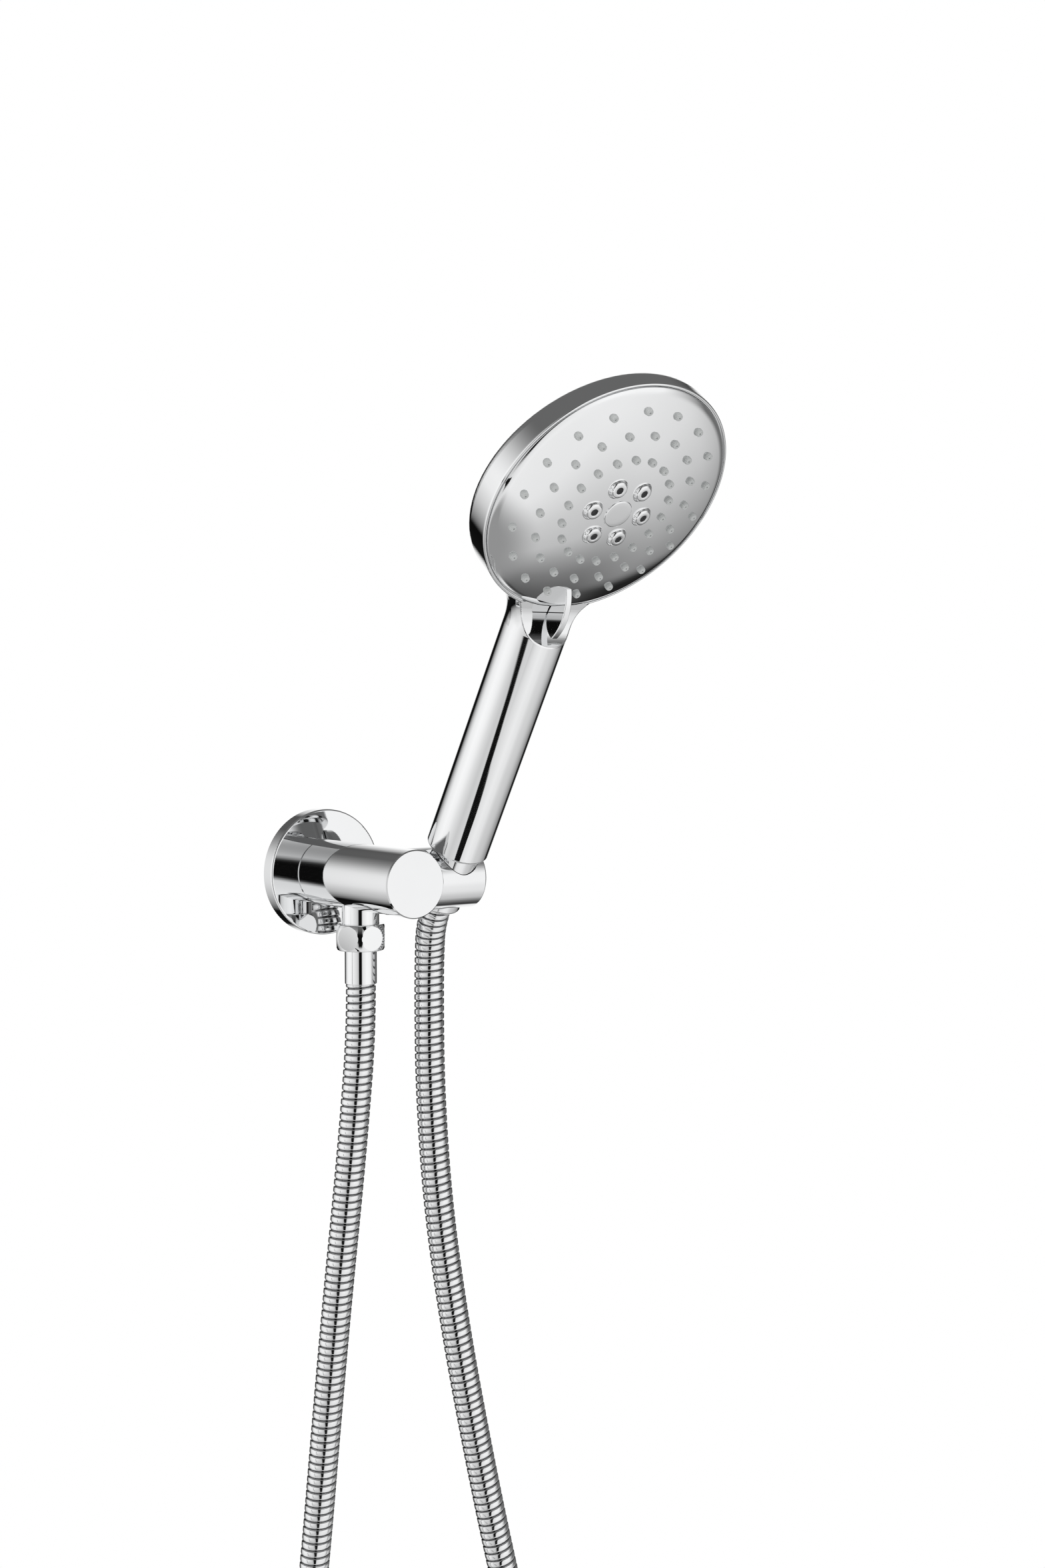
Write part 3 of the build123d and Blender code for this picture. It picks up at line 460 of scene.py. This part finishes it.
# Cone nut and handset shell: the tapered nut that stands in the holder, and the handle and casing.
# The shell is one moulding in plated plastic; the nut is plated brass, screwed on the inlet.
# The casing's rim is a fine rolled bead round the face, a ring that takes the plain edge's place.
head_tilt = math.radians(40.7)
head_centre = (0.0266, -0.17708, 0.15893)
head_place = Matrix((
    (0, -1, 0, head_centre[0]),
    (-math.sin(head_tilt), 0, -math.cos(head_tilt), head_centre[1]),
    (math.cos(head_tilt), 0, -math.sin(head_tilt), head_centre[2]),
    (0, 0, 0, 1),
))
edge_r = 55.03
edge_low = -1.03
mouth_r = 52.8
mouth_slack = 0.06
mouth_low = -7.6
bead_r = 55.02
bead_in = 54.0
rim_waist = 54.6
rim_shelf = 53.6
rim_foot = -7.4
dress(chrome, "hose_cone_nut")
shell = node_copy("handset_shell", "plated_shell", chrome)
spots = [head_place.inverted() @ vertex.co * 1000 for vertex in shell.data.vertices]
on_edge = [math.hypot(spot.x, spot.y) < edge_r and spot.z > edge_low for spot in spots]
in_mouth = [
    abs(math.hypot(spot.x, spot.y) - mouth_r) < mouth_slack and mouth_low < spot.z
    for spot in spots
]
pick(shell)
bpy.ops.object.mode_set(mode="EDIT")
bpy.ops.mesh.select_mode(type="FACE")
bpy.ops.mesh.select_all(action="DESELECT")
bpy.ops.object.mode_set(mode="OBJECT")
for face in shell.data.polygons:
    face.select = any(
        all(inside[corner] for corner in face.vertices) for inside in (on_edge, in_mouth)
    )
bpy.ops.object.mode_set(mode="EDIT")
bpy.ops.mesh.delete(type="FACE")
bpy.ops.object.mode_set(mode="OBJECT")
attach(shell, "handset")
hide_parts("handset_shell")
rim_outline = [(bead_r, -1.5), (bead_r, -1.0)]
rim_outline += bow((bead_r, -1.0), (bead_r, 0.0), (54.35, 0.0), 8)[1:]
rim_outline += bow((54.25, 0.0), (bead_in, 0.0), (bead_in, -0.25), 4)
rim_outline += [(bead_in, -0.8), (rim_shelf, -0.8), (rim_shelf, rim_foot)]
rim_outline += [(rim_waist, rim_foot), (rim_waist, -1.5), (bead_r, -1.5)]
rim = turned("casing_rim", rim_outline, head_place, steps=180, crease=40)
rim.data.materials.append(chrome)
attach(rim, "handset")

# Face plate: a thin domed plate with a rolled edge, which turns in the casing's rim.
# Moulded plastic, plated to a mirror a little softer than the shell's.
face_plating = finish(
    "face_plating", colour=(0.88, 0.885, 0.89), worn=(0.84, 0.845, 0.85),
    metallic=1.0, gloss=0.025, haze=0.02, grain=0.01, grain_scale=900.0,
)
dome_r = 182.84
dome_top = 8.5
dome_start = 6.2
dome_width = 44.1
dome_steps = 28
plate_r = 53.45
plate_in = 52.0
plate_foot = -3.4
plate_wall = 1.8


def dome(radius):
    """Height of the plate's dome over the rim, in millimetres."""
    return dome_top - dome_r + math.sqrt(dome_r**2 - radius**2)


dome_spots = [dome_start + dome_width * step / dome_steps for step in range(dome_steps + 1)]
dome_edge = (dome_spots[-1], dome(dome_spots[-1]))
plate_outline = [(radius, dome(radius)) for radius in dome_spots]
plate_outline += bow(dome_edge, (52.2, 0.9), (53.25, 0.02), 10)[1:]
plate_outline += bow((53.25, 0.02), (plate_r, -0.15), (plate_r, -0.6), 4)[1:]
plate_outline += [(plate_r, plate_foot), (plate_in, plate_foot), (plate_in, -1.4)]
plate_outline += [(radius, dome(radius) - plate_wall) for radius in reversed(dome_spots)]
plate_outline += [plate_outline[0]]
plate = turned("domed_plate", plate_outline, head_place, steps=180, crease=40)
plate.data.materials.append(face_plating)
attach(plate, "spray_selector")
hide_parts("face_plate")

# Centre cap and thumb blade: a low button over the pivot bolt, and the blade that turns the plate.
# Both are moulded in plastic and plated.
cap_r = 6.35
cap_foot = 6.5
dress(chrome, "selector_fin")
cap_outline = [(0, 9.06), (2.0, 9.05), (4.0, 9.01)]
cap_outline += bow((5.6, 8.95), (6.3, 8.9), (cap_r, 8.4), 6) + [(cap_r, cap_foot), (0, cap_foot)]
cap = turned("low_cap", cap_outline, head_place, steps=96, crease=40)
cap.data.materials.append(face_plating)
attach(cap, "spray_selector")
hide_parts("centre_cap")

# Jets: six short tubes round the cap, each in a rounded boss that swells out of the plate.
# Plated like the plate, with a flat lip; a black plug in the rubber finish fills each bore below
# the lip, as painted shade for the dark hole.
# One is turned and set six times.
jet_ring = 12.8
jet_start = -93
jet_foot_r = 4.8
jet_foot = -0.8
jet_bore = 1.5
shade_plug_r = 1.49
jet_outline = [(jet_foot_r, jet_foot), (jet_foot_r, -0.1)]
jet_outline += bow((jet_foot_r, -0.1), (4.1, -0.04), (3.95, 0.35), 6)[1:]
jet_outline += bow((3.95, 0.35), (3.75, 1.55), (2.6, 1.66), 10)[1:] + [(2.1, 1.7), (1.68, 1.68)]
jet_outline += bow((1.68, 1.68), (1.52, 1.66), (jet_bore, 1.45), 3)[1:]
jet_outline += [(jet_bore, jet_foot), (jet_foot_r, jet_foot)]
# Painted shade: the outline of the black plug that darkens each jet's hole.
shade_plug_outline = [(0, 0.45), (0.9, 0.5), (shade_plug_r, 0.75), (shade_plug_r, -0.7), (0, -0.7)]


def planted(name, outline, ring_spots, steps, lean):
    """One turned piece set at each (radius, angle) spot of the dome, and all joined.

    With a lean of 1 each stands square to the dome, and with 0 along the face's axis."""
    first = turned(name, outline, Matrix.Identity(4), steps, crease=40)
    copies = []
    for radius, angle in ring_spots:
        copy = first.copy()
        copy.data = first.data.copy()
        bpy.context.scene.collection.objects.link(copy)
        turn = math.radians(angle)
        spot = Vector((radius * math.cos(turn), radius * math.sin(turn), dome(radius))) / 1000
        hinge = Vector((-math.sin(turn), math.cos(turn), 0))
        tip = Matrix.Rotation(lean * math.asin(radius / dome_r), 4, hinge)
        copy.matrix_world = head_place @ Matrix.Translation(spot) @ tip
        copies.append(copy)
    bpy.data.objects.remove(first)
    pick(*copies)
    bpy.ops.object.join()
    bpy.ops.object.transform_apply(location=True, rotation=True, scale=True)
    copies[0].name = name
    return copies[0]


jet_spots = [(jet_ring, jet_start + 60 * index) for index in range(6)]
jets = planted("plated_jets", jet_outline, jet_spots, steps=64, lean=1)
jets.data.materials.append(face_plating)
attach(jets, "spray_selector")
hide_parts("jet_nozzles")
# Painted shade: a black plug down each jet's bore stands in for the shade inside the hole.
shade_plugs = planted("jet_shade_plugs", shade_plug_outline, jet_spots, steps=32, lean=1)
shade_plugs.data.materials.append(rubber)
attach(shade_plugs, "spray_selector")

# Nozzle mat: one grey silicone moulding behind the plate, with three rings of soft nozzles on it.
# Each nozzle stands out through the plate: a short round peg with a rounded tip and a pinhole.
silicone = finish(
    "grey_silicone", colour=(0.62, 0.635, 0.63), worn=(0.54, 0.555, 0.55),
    metallic=0.0, gloss=0.35, haze=0.12, grain=0.08, grain_scale=1500.0, lump=0.05,
)
nozzle_rings = [(44.6, -73), (35.0, -83), (24.6, -73)]
nozzle_r = 1.62
nozzle_foot = -2.4
nozzle_outline = [(0, nozzle_foot), (nozzle_r, nozzle_foot), (nozzle_r, -0.3), (1.58, 0.7)]
nozzle_outline += bow((1.58, 0.7), (1.54, 1.5), (0.95, 1.53), 5)[1:]
nozzle_outline += [(0.34, 1.5), (0.26, 1.0), (0, 1.0)]
nozzle_spots = [
    (radius, start + 20 * index) for radius, start in nozzle_rings for index in range(18)
]
nozzles = planted("soft_nozzles", nozzle_outline, nozzle_spots, steps=24, lean=0)
mat_start = 20
mat_width = 28
mat_steps = 8
mat_front = 1.9
mat_back = 3.0
mat_spots = [mat_start + mat_width * step / mat_steps for step in range(mat_steps + 1)]
mat_outline = [(radius, dome(radius) - mat_front) for radius in mat_spots]
mat_outline += [(radius, dome(radius) - mat_back) for radius in reversed(mat_spots)]
mat_outline += [mat_outline[0]]
mat = turned("mat_sheet", mat_outline, head_place, steps=72, crease=40)
pick(nozzles, mat)
bpy.ops.object.join()
nozzles.data.materials.append(silicone)
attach(nozzles, "spray_selector")
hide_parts("nozzle_mat")

# Floor: a plain pale disc under the hanging loop, which keeps the set's soft shadow.
# The metal looks through it at the studio round it, as it does in a light tent.
floor_r = 0.5
floor_fade = (0.15, 0.49)
floor_centre = (0.0, -0.1, cad_box[0][2] - 0.03)
bpy.ops.object.select_all(action="DESELECT")
bpy.ops.mesh.primitive_circle_add(
    vertices=96, radius=floor_r, fill_type="NGON", location=floor_centre
)
floor = bpy.context.object
floor.name = "floor"
paper = bpy.data.materials.new("pale_floor")
paper.use_nodes = True
tree = paper.node_tree
wire = Wire(tree)
card = tree.nodes["Principled BSDF"]
card.inputs["Base Color"].default_value = (0.9, 0.9, 0.9, 1)
card.inputs["Roughness"].default_value = 0.9
at = wire.node("ShaderNodeTexCoord", {}, {}, "Object")
away = wire.node("ShaderNodeVectorMath", {"operation": "LENGTH"}, {0: at}, "Value")
spread = {"Value": away, 1: floor_fade[0], 2: floor_fade[1], 3: 0.7, 4: 1.0}
edge = wire.node("ShaderNodeMapRange", {"interpolation_type": "SMOOTHSTEP"}, spread, 0)
glow = wire.node("ShaderNodeEmission", {}, {"Color": (1, 1, 1, 1), "Strength": 1.0}, 0)
clear = wire.node("ShaderNodeBsdfTransparent", {}, {}, 0)
glossy = wire.node("ShaderNodeLightPath", {}, {}, "Is Glossy Ray")
shaded = Wire(tree, card.outputs[0])
soft = wire.node("ShaderNodeMixShader", {}, {0: edge, 1: shaded, 2: glow}, 0)
seen = wire.node("ShaderNodeMixShader", {}, {0: glossy, 1: soft, 2: clear}, 0)
tree.links.new(seen.socket, tree.nodes["Material Output"].inputs["Surface"])
floor.data.materials.append(paper)

# Studio: a light tent of white panels with dark gaps between them, which is what the chrome shows.
# Each ring lists its panels' greys by compass angle, 0 straight out of the wall and plus to the
# right; the rings lie level, below it and near the floor, with plain panels under and over them.
display_gamma = 2.2
plating_return = 0.86
studio = bpy.data.worlds.new("light_tent")
bpy.context.scene.world = studio
studio.use_nodes = True
tree = studio.node_tree
wire = Wire(tree)


def lit(grey):
    """The panel light that the plating turns back into a display grey."""
    return float(grey**display_gamma / plating_return)


def panels(greys):
    return [((angle + 180) / 360, lit(grey)) for angle, grey in greys]


level_ring = panels([
    (-180, 0.08), (-175, 0.08), (-169, 0.50), (-155, 0.80), (-145, 0.92), (-125, 0.97),
    (-84, 0.92), (-60, 0.83), (-48, 0.72), (-45, 0.08), (-27, 0.08), (-21, 0.88), (10, 0.97),
    (40, 0.94), (52, 0.76), (69, 0.42), (104, 0.42), (108, 0.12), (124, 0.12), (129, 0.90),
    (147, 0.95), (157, 0.85), (164, 0.10), (180, 0.08),
])
lower_ring = panels([
    (-180, 0.08), (-175, 0.08), (-169, 0.45), (-158, 0.72), (-140, 0.86), (-115, 0.94),
    (-80, 0.78), (-60, 0.80), (-45, 0.72), (-42, 0.08), (-27, 0.08), (-22, 0.88), (5, 0.92),
    (35, 0.91), (60, 0.85), (79, 0.76), (96, 0.62), (106, 0.52), (110, 0.14), (124, 0.14),
    (130, 0.92), (150, 0.95), (158, 0.75), (164, 0.10), (180, 0.08),
])
floor_ring = panels([
    (-180, 0.45), (-140, 0.75), (-90, 0.80), (-39, 0.85), (5, 0.92), (35, 0.89), (57, 0.79),
    (76, 0.73), (86, 0.61), (97, 0.47), (108, 0.35), (121, 0.21), (129, 0.47), (135, 0.90),
    (150, 0.80), (180, 0.45),
])
under_panel = (lit(0.56), lit(0.56), lit(0.56), 1)
over_panel = (lit(0.39), lit(0.39), lit(0.39), 1)
towards = wire.node("ShaderNodeTexCoord", {}, {}, "Generated")
right, back, high = (
    wire.node("ShaderNodeSeparateXYZ", {}, {0: towards}, axis) for axis in range(3)
)
compass = wire.math("ARCTAN2", right, 0 - back) * (0.5 / math.pi) + 0.5


def ramp(stops, place):
    return wire.node("ShaderNodeValToRGB", {"stops": stops}, {"Fac": place}, "Color")


def rise(value, start, end):
    values = {"Value": value, 1: start, 2: end}
    return wire.node("ShaderNodeMapRange", {"interpolation_type": "SMOOTHSTEP"}, values, 0)


tent = wire.mixed(rise(high, -0.18, -0.48), ramp(level_ring, compass), ramp(lower_ring, compass))
tent = wire.mixed(rise(high, -0.58, -0.80), tent, ramp(floor_ring, compass))
tent = wire.mixed(rise(high, -0.90, -0.96), tent, under_panel)
tent = wire.mixed(rise(high, 0.15, 0.72), tent, over_panel)

# Slit at the tent's left: it runs down from the level ring and widens towards the camera's feet.
# Its middle and half width in degrees go by height, so the handle shows one tapering dark line.
slit = [
    (-0.83, -38.0, 10.0), (-0.78, -49.5, 5.7), (-0.73, -57.0, 4.0), (-0.67, -64.5, 3.0),
    (-0.54, -78.5, 1.6), (-0.42, -90.0, 1.2), (-0.20, -97.0, 1.6),
]
slit_dark = (0.006, 0.006, 0.006, 1)
slit_middles = [(-height, (angle + 180) / 360) for height, angle, half in reversed(slit)]
slit_halves = [(-height, half / 360) for height, angle, half in reversed(slit)]
off_middle = wire.math("ABSOLUTE", compass - ramp(slit_middles, 0 - high), 0.0)
aside = off_middle - ramp(slit_halves, 0 - high)
in_slit = rise(aside, 0.002, -0.002) * rise(high, -0.10, -0.16) * rise(high, -0.88, -0.84)
tent = wire.mixed(in_slit, tent, slit_dark)
camera_ray = wire.node("ShaderNodeLightPath", {}, {}, "Is Camera Ray")
tent = wire.mixed(camera_ray, tent, (1, 1, 1, 1))
tree.links.new(tent.socket, tree.nodes["Background"].inputs["Color"])

# Lamp and camera: one broad soft lamp above left, and the photograph's viewing point.
# The lamp is kept out of the mirrors, which show only the tent.


def stand(thing, place, target):
    """Puts a lamp or the camera at its place, turned towards its target."""
    bpy.context.scene.collection.objects.link(thing)
    thing.location = place
    aim = Vector(target) - thing.location
    thing.rotation_euler = aim.to_track_quat("-Z", "Y").to_euler()


lamp = bpy.data.objects.new("soft_lamp", bpy.data.lights.new("soft_lamp", "AREA"))
stand(lamp, place=(-0.5, -0.6, 1.0), target=(0.02, -0.1, -0.1))
lamp.data.size = 0.9
lamp.data.energy = 7
lamp.visible_glossy = False
camera = bpy.data.objects.new("camera", bpy.data.cameras.new("camera"))
stand(camera, place=(-0.48404, -0.79285, 0.08531), target=(0.04266, -0.10017, 0.04296))
camera.data.sensor_fit = "VERTICAL"
camera.data.sensor_height = 36
camera.data.lens = 45.92
camera.data.clip_start = 0.01
bpy.context.scene.camera = camera
bpy.context.scene.view_settings.view_transform = "Standard"
